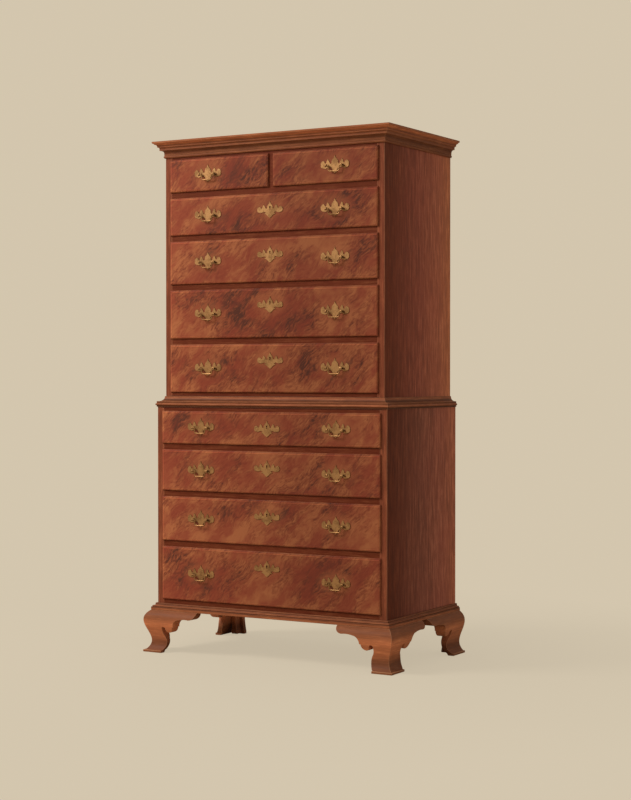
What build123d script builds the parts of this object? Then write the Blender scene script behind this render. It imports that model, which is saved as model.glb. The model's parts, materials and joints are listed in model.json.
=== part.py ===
from build123d import *

import os

os.makedirs("parts", exist_ok=True)

# Chest-on-chest on ogee bracket feet, all lengths in millimetres
# The front faces -Y, the sides face -X and +X, and the feet stand on z = 0
# The origin is under the middle of the whole, front to back and side to side

# The two cases
lower_width = 984
lower_depth = 551
upper_inset = 22.5
side_thickness = 29
top_thickness = 22
bottom_thickness = 24
housing_depth = 8
backboard_thickness = 12
backboard_rebate = 13
backboard_gap = 1.5
lower_backboards = 4
upper_backboards = 5

# Rails and runners
rail_depth = 60
rail_thickness = 27
lower_bottom_rail = 18
lower_top_rail = 17
upper_bottom_rail = 12
upper_top_rail = 55
cornice_rail_thickness = 22
runner_width = 40
upright_thickness = 30
guide_height = 20

# Drawer fronts, heights listed from the bottom row up
lower_front_heights = [201, 167, 155, 123]
upper_front_heights = [180, 182, 162, 141, 123]
front_proud = 7.5
front_inner = 14
lip = 6
lip_gap = 0.3
edge_clearance = 1.0
thumbnail_radius = 5
thumbnail_margin = 7.5
field_rise = 1.2

# Drawer boxes
box_side = 11
box_back_clearance = 8
running_gap = 0.3
top_clearance = 3
bottom_panel = 8
bottom_panel_raise = 8
groove_depth = 5
socket_depth = 9
tail_pitch = 30
tail_base_share = 0.3
tail_end_share = 0.38

# Feet
foot_height = 158
foot_projection = 41
foot_bulge = 40
foot_neck = 17.5
foot_top = 19.5
foot_ledge = 34
foot_inner = 8
foot_stock = 24
foot_hollow = 3.5
pad_height = 9
pad_edge = 1.5
front_bracket_length = 232
side_bracket_length = 276
corner_block = 34
corner_block_height = 62
block_lift = 3
back_bracket_thickness = 18
back_bracket_reach = 30
back_bracket_flare = 8
back_block_reach = 18

# Mouldings
cornice_height = 62
cornice_projection = 38.6
waist_rise = 22
waist_drop = 18
waist_projection = 7.2
waist_clearance = 0.5
base_height = 27
base_projection = 19.2

# Brasses
plate_width = 116
plate_height = 66
plate_thickness = 1.6
piercing_radius = 2.8
escutcheon_width = 108
escutcheon_height = 61
lower_pull_place = 290
upper_pull_place = 273
escutcheon_drop = 65
keyhole_rise = 13
keyhole_radius = 2.8
keyhole_slot = 3.2
keyhole_length = 9
pin_place = 46
pin_rise = 4
pin_head = 1.7
pin_shank = 0.9
pin_dome = 1.3
pin_depth = 8
post_spacing = 63
post_radius = 2.4
post_flange = 5
post_flange_thickness = 1.2
post_head = 4.5
post_reach = 7.5
post_tail = 5
fit_clearance = 0.1
nut_size = 9
nut_thickness = 3
bail_radius = 2.2
bail_pin_radius = 1.6
bail_pin_length = 7
bail_bend = 3
bail_taper = 1.5
bail_drop = 21
bail_corner = 7
bail_clearance = 0.3
lock_width = 60
lock_height = 60
lock_thickness = 12
lock_keyhole_depth = 8
bolt_width = 24
bolt_thickness = 5
bolt_notch = 2

# A cut runs this far past what it cuts
overrun = 5

# Places worked out from the sizes above
lower_half = lower_width / 2
upper_half = lower_half - upper_inset
back_plane = (lower_depth + foot_projection) / 2
lower_front = back_plane - lower_depth
upper_front = lower_front + upper_inset
backboard_face = back_plane - backboard_thickness
half_post = post_spacing / 2

# Half the outline of a pull's plate from its tip round to its foot, in shares of its width and height
tip_share = (0.0, 0.56)
plate_shares = [
    [(0.02, 0.455), (0.058, 0.36)],
    [(0.106, 0.265), (0.114, 0.16)],
    [(0.146, 0.09), (0.182, 0.15)],
    [(0.21, 0.25), (0.255, 0.35)],
    [(0.287, 0.255), (0.3, 0.17)],
    [(0.33, 0.122), (0.361, 0.165)],
    [(0.372, 0.22), (0.405, 0.265)],
    [(0.483, 0.189), (0.5, 0.053)],
    [(0.483, -0.083), (0.414, -0.133)],
    [(0.345, -0.167), (0.284, -0.13)],
    [(0.246, -0.089), (0.207, -0.114)],
    [(0.14, -0.118), (0.104, -0.18)],
    [(0.084, -0.235), (0.08, -0.3)],
    [(0.066, -0.355), (0.034, -0.36)],
    [(0.016, -0.39), (0.0, -0.44)],
]
piercing_share = (0.341, -0.045)

# Half the outline of an escutcheon, in the same way
escutcheon_shares = [
    [(0.022, 0.45), (0.06, 0.36)],
    [(0.102, 0.27), (0.112, 0.17)],
    [(0.143, 0.115), (0.177, 0.17)],
    [(0.205, 0.26), (0.247, 0.345)],
    [(0.285, 0.26), (0.3, 0.18)],
    [(0.333, 0.13), (0.362, 0.17)],
    [(0.38, 0.21), (0.42, 0.235)],
    [(0.482, 0.18), (0.5, 0.07)],
    [(0.485, -0.06), (0.42, -0.1)],
    [(0.35, -0.12), (0.28, -0.095)],
    [(0.2, -0.085), (0.16, -0.135)],
    [(0.235, -0.197)],
    [(0.15, -0.235), (0.1, -0.3)],
    [(0.06, -0.37), (0.0, -0.44)],
]

# The scrolled edge of a foot from its pad to the bracket's end, in shares of its length and height
ankle_share = 0.353
bracket_shares = [
    [(0.366, 0.07)],
    [(0.407, 0.209), (0.379, 0.38)],
    [(0.351, 0.468), (0.347, 0.557)],
    [(0.377, 0.623), (0.414, 0.582)],
    [(0.429, 0.513), (0.47, 0.487)],
    [(0.528, 0.522), (0.556, 0.62)],
    [(0.578, 0.627)],
    [(0.599, 0.741), (0.672, 0.807)],
    [(0.767, 0.832), (0.879, 0.829)],
    [(0.966, 0.88), (1.0, 1.0)],
]

# Heights of a foot's ogee and of the hollow behind it, in shares of the foot's height
bulge_share = 0.76
turn_share = 0.525
neck_share = 0.3
hollow_share = 0.25

# The mouldings' edges from bottom to top, in shares of their projection and height
cornice_shares = [
    [(0.08, 0.0)],
    [(0.16, 0.08), (0.08, 0.165)],
    [(0.115, 0.18)],
    [(0.115, 0.305)],
    [(0.195, 0.42), (0.39, 0.465)],
    [(0.455, 0.465)],
    [(0.455, 0.54)],
    [(0.475, 0.62), (0.55, 0.66)],
    [(0.62, 0.66)],
    [(0.65, 0.77), (0.735, 0.815)],
    [(0.83, 0.835), (0.87, 0.885)],
    [(0.96, 0.885)],
    [(1.0, 0.92)],
    [(1.0, 1.0)],
]
base_shares = [
    [(0.95, 0.0)],
    [(1.0, 0.05)],
    [(1.0, 0.36)],
    [(0.97, 0.43), (0.9, 0.455)],
    [(0.76, 0.455)],
    [(0.82, 0.56), (0.7, 0.65)],
    [(0.45, 0.68), (0.34, 0.78)],
    [(0.37, 0.9), (0.2, 1.0)],
]
waist_foot_share = 0.45
waist_bead_share = 0.22
waist_step_share = 0.75
waist_lip_share = 0.14
cove_share = 0.293


def trace(start, steps):
    """Draws a closed outline: a step of one point is a line, and of two an arc through the first."""
    place = start
    for step in steps:
        if len(step) == 1:
            Line(place, step[0])
        else:
            ThreePointArc(place, step[0], step[1])
        place = step[-1]
    Line(place, start)


def scaled(steps, across, up):
    """Turns shares of an outline into lengths."""
    return [[(x * across, z * up) for x, z in step] for step in steps]


def board(xs, ys, zs):
    """A plain board between two places along each axis."""
    with BuildPart() as piece:
        with BuildSketch(Plane.XY.offset(zs[0])):
            with Locations(((xs[0] + xs[1]) / 2, (ys[0] + ys[1]) / 2)):
                Rectangle(xs[1] - xs[0], ys[1] - ys[0])
        extrude(amount=zs[1] - zs[0])
    return piece.part


def both_sides(pieces):
    """The pieces and their mirror images on the other side of the chest."""
    return pieces + [mirror(piece, about=Plane.YZ) for piece in pieces]


def write_node(name, pieces):
    """Writes one node, whose pieces stay separate solids."""
    solids = [solid for piece in pieces for solid in piece.solids()]
    node = Compound(label=name, obj=solids)
    export_step(node, f"parts/{name}.step")


def stack_rows(bottom, heights):
    """The openings of one case from the bottom up, as pairs of their bottom and top."""
    rows = []
    for height in heights:
        top = bottom + edge_clearance + height - lip
        rows.append((bottom, top))
        bottom = top + rail_thickness
    return rows


# Heights of the two cases
lower_rows = stack_rows(foot_height + bottom_thickness + lower_bottom_rail, lower_front_heights)
lower_top = lower_rows[-1][1] + lower_top_rail + top_thickness
upper_rows = stack_rows(lower_top + bottom_thickness + upper_bottom_rail, upper_front_heights)
upper_top = upper_rows[-1][1] + upper_top_rail + top_thickness
print(f"overall height {upper_top} mm, waist at {lower_top} mm")


def case_side(half, front, bottom, top):
    """The left side board, rebated for the backboards and housed for the top and the bottom board."""
    inner = -half + side_thickness
    with BuildPart() as side:
        with BuildSketch(Plane.XY.offset(bottom)):
            with Locations((inner - side_thickness / 2, (front + back_plane) / 2)):
                Rectangle(side_thickness, back_plane - front)
        extrude(amount=top - bottom)
        with BuildSketch(Plane.XY.offset(bottom)):
            with Locations((inner, back_plane)):
                Rectangle(2 * backboard_rebate, 2 * backboard_thickness)
        extrude(amount=top - bottom, mode=Mode.SUBTRACT)
        with BuildSketch(Plane.XZ.offset(-front)):
            with Locations((inner, bottom)):
                Rectangle(2 * housing_depth, 2 * bottom_thickness)
            with Locations((inner, top)):
                Rectangle(2 * housing_depth, 2 * top_thickness)
        extrude(amount=front - back_plane, mode=Mode.SUBTRACT)
    return side.part


def case_level(half, front, bottom, thickness):
    """A top or a bottom board, housed in the two sides."""
    reach = half - side_thickness + housing_depth
    return board((-reach, reach), (front, backboard_face), (bottom, bottom + thickness))


def case_back(half, bottom, top, count):
    """Horizontal backboards with a small gap between them for the wood to move."""
    reach = half - side_thickness + backboard_rebate
    pitch = (top - bottom + backboard_gap) / count
    boards = []
    for index in range(count):
        foot = bottom + index * pitch
        head = foot + pitch - backboard_gap
        boards.append(board((-reach, reach), (backboard_face, back_plane), (foot, head)))
    return boards


def case_level_frame(half, front, zs):
    """A front rail at one level, with a runner behind it on each side."""
    inner = half - side_thickness
    rail = board((-inner, inner), (front, front + rail_depth), zs)
    runner = board((-inner, runner_width - inner), (front + rail_depth, backboard_face), zs)
    return [rail] + both_sides([runner])


def case_frames(half, front, floor, rows):
    """The rails and the runners from the bottom board up to the rail over the last but one row."""
    pieces = case_level_frame(half, front, (floor, rows[0][0]))
    for below, above in zip(rows, rows[1:]):
        pieces += case_level_frame(half, front, (below[1], above[0]))
    return pieces


lower_side = case_side(lower_half, lower_front, foot_height, lower_top)
write_node("lower_sides", both_sides([lower_side]))
lower_bottom_board = case_level(lower_half, lower_front, foot_height, bottom_thickness)
lower_top_board = case_level(lower_half, lower_front, lower_top - top_thickness, top_thickness)
write_node("lower_top_and_bottom", [lower_bottom_board, lower_top_board])
write_node("lower_backboards", case_back(lower_half, foot_height, lower_top, lower_backboards))
lower_frames = case_frames(lower_half, lower_front, foot_height + bottom_thickness, lower_rows)
lower_frames += case_level_frame(lower_half, lower_front, (lower_rows[-1][1], lower_top - top_thickness))
write_node("lower_drawer_frames", lower_frames)

upper_side = case_side(upper_half, upper_front, lower_top, upper_top)
write_node("upper_sides", both_sides([upper_side]))
upper_bottom_board = case_level(upper_half, upper_front, lower_top, bottom_thickness)
upper_top_board = case_level(upper_half, upper_front, upper_top - top_thickness, top_thickness)
write_node("upper_top_and_bottom", [upper_bottom_board, upper_top_board])
write_node("upper_backboards", case_back(upper_half, lower_top, upper_top, upper_backboards))


def small_drawer_frame():
    """The upright, the centre runner, the guide and the kickers of the two small drawers."""
    floor, head = upper_rows[-1]
    inner = upper_half - side_thickness
    behind = (upper_front + rail_depth, backboard_face)
    level = (upper_rows[-2][1], floor)
    kicker_zs = (head, head + rail_thickness)
    behind_rail = (upper_front + cornice_rail_thickness, backboard_face)
    centre = (-runner_width, runner_width)
    upright_xs = (-upright_thickness / 2, upright_thickness / 2)
    pieces = [board(upright_xs, (upper_front, upper_front + rail_depth), (floor, head))]
    pieces.append(board(centre, behind, level))
    pieces.append(board(upright_xs, behind, (floor, floor + guide_height)))
    rail_ys = (upper_front, upper_front + cornice_rail_thickness)
    pieces.append(board((-inner, inner), rail_ys, (head, upper_top - top_thickness)))
    pieces.append(board(centre, behind_rail, kicker_zs))
    kicker = board((-inner, runner_width - inner), behind_rail, kicker_zs)
    return pieces + both_sides([kicker])


upper_frames = case_frames(upper_half, upper_front, lower_top + bottom_thickness, upper_rows)
write_node("upper_drawer_frames", upper_frames + small_drawer_frame())


def cut_mitre(half, front, reach, inner, zs, side_piece):
    """Cuts away what lies past the 45 degree plane through a case's left front corner."""
    outer = (-half - reach, front - reach)
    inward = (inner - half, front + inner)
    far = (inner - half, front - reach) if side_piece else (-half - reach, front + inner)
    with BuildSketch(Plane.XY.offset(zs[0])) as away:
        Polygon(outer, inward, far, align=None)
    extrude(away.sketch, amount=zs[1] - zs[0], mode=Mode.SUBTRACT)


def moulding(half, front, start, steps, reach, inner, zs):
    """The front run and the two side runs of a moulding, mitred at the front corners."""
    with BuildPart() as front_run:
        with BuildSketch(Plane.YZ.offset(-half - reach)):
            with BuildLine():
                trace(
                    (front - start[0], start[1]),
                    [[(front - out, z) for out, z in step] for step in steps],
                )
            make_face()
        extrude(amount=half + reach)
        cut_mitre(half, front, reach, inner, zs, False)
        mirror(about=Plane.YZ)
    with BuildPart() as side_run:
        with BuildSketch(Plane.XZ.offset(-back_plane)):
            with BuildLine():
                trace(
                    (-half - start[0], start[1]),
                    [[(-half - out, z) for out, z in step] for step in steps],
                )
            make_face()
        extrude(amount=back_plane - front + reach)
        cut_mitre(half, front, reach, inner, zs, True)
    return [front_run.part] + both_sides([side_run.part])


def raised(steps, across, up, bottom):
    """Turns a moulding's shares into projections and heights over its bottom."""
    return [[(out, z + bottom) for out, z in step] for step in scaled(steps, across, up)]


cornice_bottom = upper_top - cornice_height
cornice_steps = raised(cornice_shares, cornice_projection, cornice_height, cornice_bottom)
cornice_steps.append([(0, upper_top)])
cornice_zs = (cornice_bottom - overrun, upper_top + overrun)
cornice_reach = cornice_projection + overrun
write_node(
    "cornice_moulding",
    moulding(
        upper_half,
        upper_front,
        (0, cornice_bottom),
        cornice_steps,
        cornice_reach,
        overrun,
        cornice_zs,
    ),
)

base_top = foot_height + base_height
base_steps = raised(base_shares, base_projection, base_height, foot_height)
base_steps.append([(0, base_top)])
base_zs = (foot_height - overrun, base_top + overrun)
base_reach = base_projection + overrun
write_node(
    "base_moulding",
    moulding(
        lower_half,
        lower_front,
        (0, foot_height),
        base_steps,
        base_reach,
        overrun,
        base_zs,
    ),
)


def waist_steps():
    """The waist moulding's edge: it hangs over the lower case's corner and rises round the upper case."""
    foot = lower_top - waist_drop
    head = lower_top + waist_rise
    rim = waist_clearance - upper_inset
    step = waist_projection * waist_foot_share
    bead = waist_drop * waist_bead_share
    lip_edge = waist_rise * waist_lip_share
    ledge = foot + waist_drop * waist_step_share
    centre = ledge - bead
    cove_foot = lower_top + lip_edge
    cove_head = head - lip_edge
    cove_top = rim + lip_edge
    cove_out = step - lip_edge
    cove_mid = (
        cove_top + (cove_out - cove_top) * cove_share,
        cove_foot + (cove_head - cove_foot) * cove_share,
    )
    return [
        [(step, foot)],
        [(step, centre - bead)],
        [(waist_projection, centre), (step, ledge)],
        [(step, cove_foot)],
        [(cove_out, cove_foot)],
        [cove_mid, (cove_top, cove_head)],
        [(cove_top, head)],
        [(rim, head)],
        [(rim, lower_top)],
        [(0, lower_top)],
    ]


waist_foot = lower_top - waist_drop
waist_zs = (waist_foot - overrun, lower_top + waist_rise + overrun)
waist_reach = waist_projection + overrun
write_node(
    "waist_moulding",
    moulding(
        lower_half,
        lower_front,
        (0, waist_foot),
        waist_steps(),
        waist_reach,
        upper_inset + overrun,
        waist_zs,
    ),
)


def ogee_face(plane, place, sign):
    """The upright section of a foot facing, which bulges from the case's face and is hollow behind."""

    def at(out, z):
        return (place + sign * out, z)

    with BuildSketch(plane) as section:
        with BuildLine():
            Spline(
                at(foot_top, foot_height),
                at(foot_bulge, foot_height * bulge_share),
                at((foot_bulge + foot_neck) / 2, foot_height * turn_share),
                at(foot_neck, foot_height * neck_share),
                at(foot_ledge, pad_height),
            )
            Polyline(
                at(foot_ledge, pad_height),
                at(foot_projection - pad_edge, pad_height),
                at(foot_projection, pad_height - pad_edge),
                at(foot_projection, pad_edge),
                at(foot_projection - pad_edge, 0),
                at(foot_projection - foot_stock, 0),
            )
            ThreePointArc(
                at(foot_projection - foot_stock, 0),
                at(-foot_hollow, foot_height * hollow_share),
                at(-foot_inner, foot_height * turn_share),
            )
            Polyline(
                at(-foot_inner, foot_height * turn_share),
                at(-foot_inner, foot_height),
                at(foot_top, foot_height),
            )
        make_face()
    return section.sketch


def bracket_outline(plane, corner, sign, length):
    """The scrolled outline of a foot facing, from the foot's outer corner inwards."""
    ankle = ankle_share * length
    steps = [[(ankle, 0)], [(ankle, pad_height)]] + scaled(bracket_shares, length, foot_height)
    steps.append([(0, foot_height)])
    with BuildSketch(plane) as outline:
        with BuildLine():
            trace((corner, 0), [[(corner + sign * x, z) for x, z in step] for step in steps])
        make_face()
    return outline.sketch


foot_corner = lower_half + foot_projection
mitre_reach = foot_projection + overrun
mitre_inner = foot_inner + overrun
facing_zs = (-overrun, foot_height + overrun)

with BuildPart() as front_facing:
    extrude(ogee_face(Plane.YZ.offset(-foot_corner), lower_front, -1), amount=front_bracket_length)
    outline_plane = Plane.XZ.offset(-lower_front - foot_inner)
    front_outline = bracket_outline(outline_plane, -foot_corner, 1, front_bracket_length)
    extrude(front_outline, amount=foot_inner + foot_projection, mode=Mode.INTERSECT)
    cut_mitre(lower_half, lower_front, mitre_reach, mitre_inner, facing_zs, False)

with BuildPart() as side_facing:
    side_start = lower_front - foot_projection
    extrude(ogee_face(Plane.XZ.offset(-side_start), -lower_half, -1), amount=-side_bracket_length)
    side_outline = bracket_outline(Plane.YZ.offset(-foot_corner), side_start, 1, side_bracket_length)
    extrude(side_outline, amount=foot_inner + foot_projection, mode=Mode.INTERSECT)
    cut_mitre(lower_half, lower_front, mitre_reach, mitre_inner, facing_zs, True)

with BuildPart() as back_facing:
    extrude(ogee_face(Plane.XZ.offset(-back_plane), -lower_half, -1), amount=side_bracket_length)
    back_outline = bracket_outline(Plane.YZ.offset(-foot_corner), back_plane, -1, side_bracket_length)
    extrude(back_outline, amount=foot_inner + foot_projection, mode=Mode.INTERSECT)


def plain_bracket(front, thickness, reach, lift):
    """A flat upright piece of a back foot, hollowed a little and flared at the floor."""
    inner = foot_inner - lower_half
    outer = inner + reach + back_bracket_flare
    hollow = (inner + reach, foot_height * turn_share)
    steps = [[(outer, lift)], [(outer, pad_height)], [hollow, (outer, foot_height)], [(inner, foot_height)]]
    with BuildPart() as piece:
        with BuildSketch(Plane.XZ.offset(-front - thickness)):
            with BuildLine():
                trace((inner, lift), steps)
            make_face()
        extrude(amount=thickness)
    return piece.part


back_bracket_front = back_plane - back_bracket_thickness
block_front = lower_front + foot_inner
block_xs = (foot_inner - lower_half, foot_inner + corner_block - lower_half)
block_zs = (foot_height - corner_block_height, foot_height)
foot_block = board(block_xs, (block_front, block_front + corner_block), block_zs)
back_bracket = plain_bracket(back_bracket_front, back_bracket_thickness, back_bracket_reach, 0)
back_block = plain_bracket(back_bracket_front - corner_block, corner_block, back_block_reach, block_lift)
left_feet = [front_facing.part, side_facing.part, back_facing.part, foot_block, back_bracket, back_block]
write_node("bracket_feet", both_sides(left_feet))


def keyhole(x, z):
    """A round hole with a slot below it, drawn in the sketch that is open."""
    with Locations((x, z + keyhole_rise)):
        Circle(keyhole_radius)
    with Locations((x, z + keyhole_rise - keyhole_length / 2)):
        Rectangle(keyhole_slot, keyhole_length)


wing = (piercing_share[0] * plate_width, piercing_share[1] * plate_height)
post_places = [(-half_post, 0), (half_post, 0)]
pin_places = [(-pin_place, pin_rise), (pin_place, pin_rise)]
post_hole = post_radius + fit_clearance
pin_hole = pin_shank + fit_clearance
front_thickness = front_proud + front_inner
post_end = plate_thickness + front_thickness + nut_thickness + post_tail
neck_place = (post_head**2 - post_radius**2) ** (1 / 2) - post_reach


def cut_plate(tip, steps):
    """A cut brass plate whose back lies on y = 0, with its middle on the Z axis."""
    with BuildPart() as plate:
        with BuildSketch(Plane.XZ):
            with BuildLine():
                trace(tip, steps)
            make_face()
            mirror(about=Plane.YZ)
        extrude(amount=plate_thickness)
    return plate.part


plate_tip = (tip_share[0] * plate_width, tip_share[1] * plate_height)
with BuildPart() as pull_plate:
    add(cut_plate(plate_tip, scaled(plate_shares, plate_width, plate_height)))
    with BuildSketch(Plane.XZ):
        with Locations(*post_places):
            Circle(post_hole)
        with Locations(wing, (-wing[0], wing[1])):
            Circle(piercing_radius)
    extrude(amount=plate_thickness, mode=Mode.SUBTRACT)

crown = (tip_share[0] * escutcheon_width, tip_share[1] * escutcheon_height)
with BuildPart() as escutcheon:
    add(cut_plate(crown, scaled(escutcheon_shares, escutcheon_width, escutcheon_height)))
    with BuildSketch(Plane.XZ):
        with Locations(*pin_places):
            Circle(pin_hole)
        keyhole(0, 0)
    extrude(amount=plate_thickness, mode=Mode.SUBTRACT)

# A post, its nut and an escutcheon pin, from the plate's front face at y = 0
with BuildPart() as post:
    with BuildSketch(Plane.XY):
        with BuildLine():
            ThreePointArc((0, -post_reach - post_head), (post_head, -post_reach), (post_radius, neck_place))
            Polyline(
                (post_radius, neck_place),
                (post_radius, -post_flange_thickness),
                (post_flange, -post_flange_thickness),
                (post_flange, 0),
                (post_radius, 0),
                (post_radius, post_end),
                (0, post_end),
                (0, -post_reach - post_head),
            )
        make_face()
    revolve(axis=Axis.Y)
    with BuildSketch(Plane.YZ.offset(-post_head)):
        with Locations((-post_reach, 0)):
            Circle(bail_pin_radius + fit_clearance)
    extrude(amount=2 * post_head, mode=Mode.SUBTRACT)

with BuildPart() as nut:
    with BuildSketch(Plane.XZ.offset(-plate_thickness - front_thickness)):
        Rectangle(nut_size, nut_size)
        Circle(post_hole, mode=Mode.SUBTRACT)
    extrude(amount=-nut_thickness)

with BuildPart() as pin:
    with BuildSketch(Plane.XY):
        with BuildLine():
            RadiusArc((0, -pin_dome), (pin_head, 0), pin_head)
            Polyline((pin_head, 0), (pin_shank, 0), (pin_shank, pin_depth), (0, pin_depth), (0, -pin_dome))
        make_face()
    revolve(axis=Axis.Y)

# A bail hanging from its pivot at the origin, its pins pointing outwards into the posts
shoulder = half_post - post_head - bail_clearance
arm = shoulder - bail_bend - bail_clearance
bail_foot = arm - bail_taper

with BuildPart() as bail:
    with BuildLine(Plane.XZ):
        FilletPolyline(
            (-shoulder, 0),
            (-arm, 0),
            (-bail_foot, -bail_drop),
            (bail_foot, -bail_drop),
            (arm, 0),
            (shoulder, 0),
            radius=[bail_bend, bail_corner, bail_corner, bail_bend],
        )
    with BuildSketch(Plane.YZ.offset(-shoulder)):
        Circle(bail_radius)
    sweep()
    with BuildSketch(Plane.YZ.offset(shoulder)):
        Circle(bail_pin_radius)
    extrude(amount=bail_pin_length)
    with BuildSketch(Plane.YZ.offset(-shoulder)):
        Circle(bail_pin_radius)
    extrude(amount=-bail_pin_length)


def rectangle_between(xs, zs):
    """A rectangle between two places each way, in the sketch that is open."""
    with Locations(((xs[0] + xs[1]) / 2, (zs[0] + zs[1]) / 2)):
        Rectangle(xs[1] - xs[0], zs[1] - zs[0])


def tails(root, end, zs):
    """Dovetails along one edge of a drawer side, in the sketch that is open."""
    count = max(2, round((zs[1] - zs[0]) / tail_pitch))
    pitch = (zs[1] - zs[0]) / count
    base = pitch * tail_base_share
    wide = pitch * tail_end_share
    for index in range(count):
        middle = zs[0] + (index + 1 / 2) * pitch
        corners = [(root, middle - base), (end, middle - wide), (end, middle + wide), (root, middle + base)]
        Polygon(*corners, align=None)


class Drawer:
    """The places of one drawer's pieces, worked out from the opening that it runs in."""

    def __init__(self, opening_xs, opening_zs, case_front, pulls, locked):
        self.case_front = case_front
        self.pulls = pulls
        self.locked = locked
        self.face = case_front - front_proud
        self.joint = case_front + front_inner
        self.end = backboard_face - box_back_clearance
        self.xs = (opening_xs[0] + edge_clearance, opening_xs[1] - edge_clearance)
        self.lip_xs = (opening_xs[0] - lip, opening_xs[1] + lip)
        self.front_zs = (opening_zs[0] + edge_clearance, opening_zs[1] - edge_clearance)
        self.lip_zs = (self.front_zs[0], opening_zs[1] + lip)
        self.box_zs = (opening_zs[0] + running_gap, opening_zs[1] - top_clearance)
        self.joint_zs = (self.front_zs[0], self.box_zs[1])
        panel_foot = self.box_zs[0] + bottom_panel_raise
        self.panel_zs = (panel_foot, panel_foot + bottom_panel)
        self.back_zs = (self.panel_zs[1], self.box_zs[1])
        self.left_xs = (self.xs[0], self.xs[0] + box_side)
        self.right_xs = (self.xs[1] - box_side, self.xs[1])
        self.middle = (self.xs[0] + self.xs[1]) / 2
        self.height = (self.lip_zs[0] + self.lip_zs[1]) / 2
        self.shield = self.lip_zs[1] - escutcheon_drop
        self.lock_zs = (self.front_zs[1] - lock_height, self.front_zs[1])
        self.lock_xs = (self.middle - lock_width / 2, self.middle + lock_width / 2)
        self.lock_face = self.joint - lock_thickness


def bottom_board(drawer):
    """The board that slides into the grooves of the sides and the front."""
    xs = (drawer.left_xs[1] - groove_depth, drawer.right_xs[0] + groove_depth)
    return board(xs, (drawer.joint - groove_depth, drawer.end), drawer.panel_zs)


def drawer_front(drawer):
    """The lipped front, with its thumbnail edge, dovetail sockets, groove and the brasses' holes."""
    inside_lip = drawer.case_front - lip_gap
    field_xs = (drawer.lip_xs[0] + thumbnail_margin, drawer.lip_xs[1] - thumbnail_margin)
    field_zs = (drawer.lip_zs[0] + thumbnail_margin, drawer.lip_zs[1] - thumbnail_margin)
    post_holes = [(pull + x, drawer.height + z) for pull in drawer.pulls for x, z in post_places]
    pin_holes = [(drawer.middle + x, drawer.shield + z) for x, z in pin_places]
    with BuildPart() as front:
        with BuildSketch(Plane.XZ.offset(-inside_lip)):
            rectangle_between(drawer.lip_xs, drawer.lip_zs)
        extrude(amount=front_proud - lip_gap - field_rise)
        fillet(front.faces().sort_by(Axis.Y)[0].edges(), thumbnail_radius)
        with BuildSketch(Plane.XZ.offset(-drawer.face)):
            rectangle_between(field_xs, field_zs)
        extrude(amount=-field_rise)
        with BuildSketch(Plane.XZ.offset(-drawer.joint)):
            rectangle_between(drawer.xs, drawer.front_zs)
        extrude(amount=front_inner + lip_gap)
        for side_xs in (drawer.left_xs, drawer.right_xs):
            with BuildSketch(Plane.YZ.offset(side_xs[0])):
                tails(drawer.joint, drawer.joint - socket_depth, drawer.joint_zs)
            extrude(amount=box_side, mode=Mode.SUBTRACT)
        add(bottom_board(drawer), mode=Mode.SUBTRACT)
        with BuildSketch(Plane.XZ.offset(-drawer.face)):
            with Locations(*post_holes):
                Circle(post_hole)
            if drawer.locked:
                keyhole(drawer.middle, drawer.shield)
        extrude(amount=-front_thickness, mode=Mode.SUBTRACT)
        if drawer.locked:
            with BuildSketch(Plane.XZ.offset(-drawer.joint)):
                rectangle_between(drawer.lock_xs, drawer.lock_zs)
            extrude(amount=lock_thickness, mode=Mode.SUBTRACT)
            with BuildSketch(Plane.XZ.offset(-drawer.face)):
                with Locations(*pin_holes):
                    Circle(pin_hole)
            extrude(amount=-pin_depth, mode=Mode.SUBTRACT)
    return front.part


def drawer_side(drawer, xs):
    """A side with tails at both ends and a groove for the bottom board."""
    neck = drawer.end - box_side
    with BuildPart() as side:
        with BuildSketch(Plane.YZ.offset(xs[0])):
            rectangle_between((drawer.joint, neck), drawer.box_zs)
            rectangle_between((neck, drawer.end), (drawer.box_zs[0], drawer.back_zs[0]))
            tails(drawer.joint, drawer.joint - socket_depth, drawer.joint_zs)
            tails(neck, drawer.end, drawer.back_zs)
        extrude(amount=box_side)
        add(bottom_board(drawer), mode=Mode.SUBTRACT)
    return side.part


def drawer_back(drawer):
    """The back, which stands on the bottom board between the two sides' tails."""
    neck = drawer.end - box_side
    with BuildPart() as back:
        with BuildSketch(Plane.XZ.offset(-drawer.end)):
            rectangle_between(drawer.xs, drawer.back_zs)
        extrude(amount=box_side)
        for side_xs in (drawer.left_xs, drawer.right_xs):
            with BuildSketch(Plane.YZ.offset(side_xs[0])):
                tails(neck, drawer.end, drawer.back_zs)
            extrude(amount=box_side, mode=Mode.SUBTRACT)
    return back.part


def drawer_lock(drawer):
    """A half-mortise lock let into the front from behind, its bolt drawn down."""
    with BuildPart() as lock:
        with BuildSketch(Plane.XZ.offset(-drawer.joint)):
            rectangle_between(drawer.lock_xs, drawer.lock_zs)
        extrude(amount=lock_thickness)
        with BuildSketch(Plane.XZ.offset(-drawer.lock_face)):
            keyhole(drawer.middle, drawer.shield)
        extrude(amount=-lock_keyhole_depth, mode=Mode.SUBTRACT)
        with BuildSketch(Plane.XY.offset(drawer.lock_zs[1])):
            with Locations((drawer.middle, (drawer.joint + drawer.lock_face) / 2)):
                Rectangle(bolt_width, bolt_thickness)
        extrude(amount=-bolt_notch, mode=Mode.SUBTRACT)
    return lock.part


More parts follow.
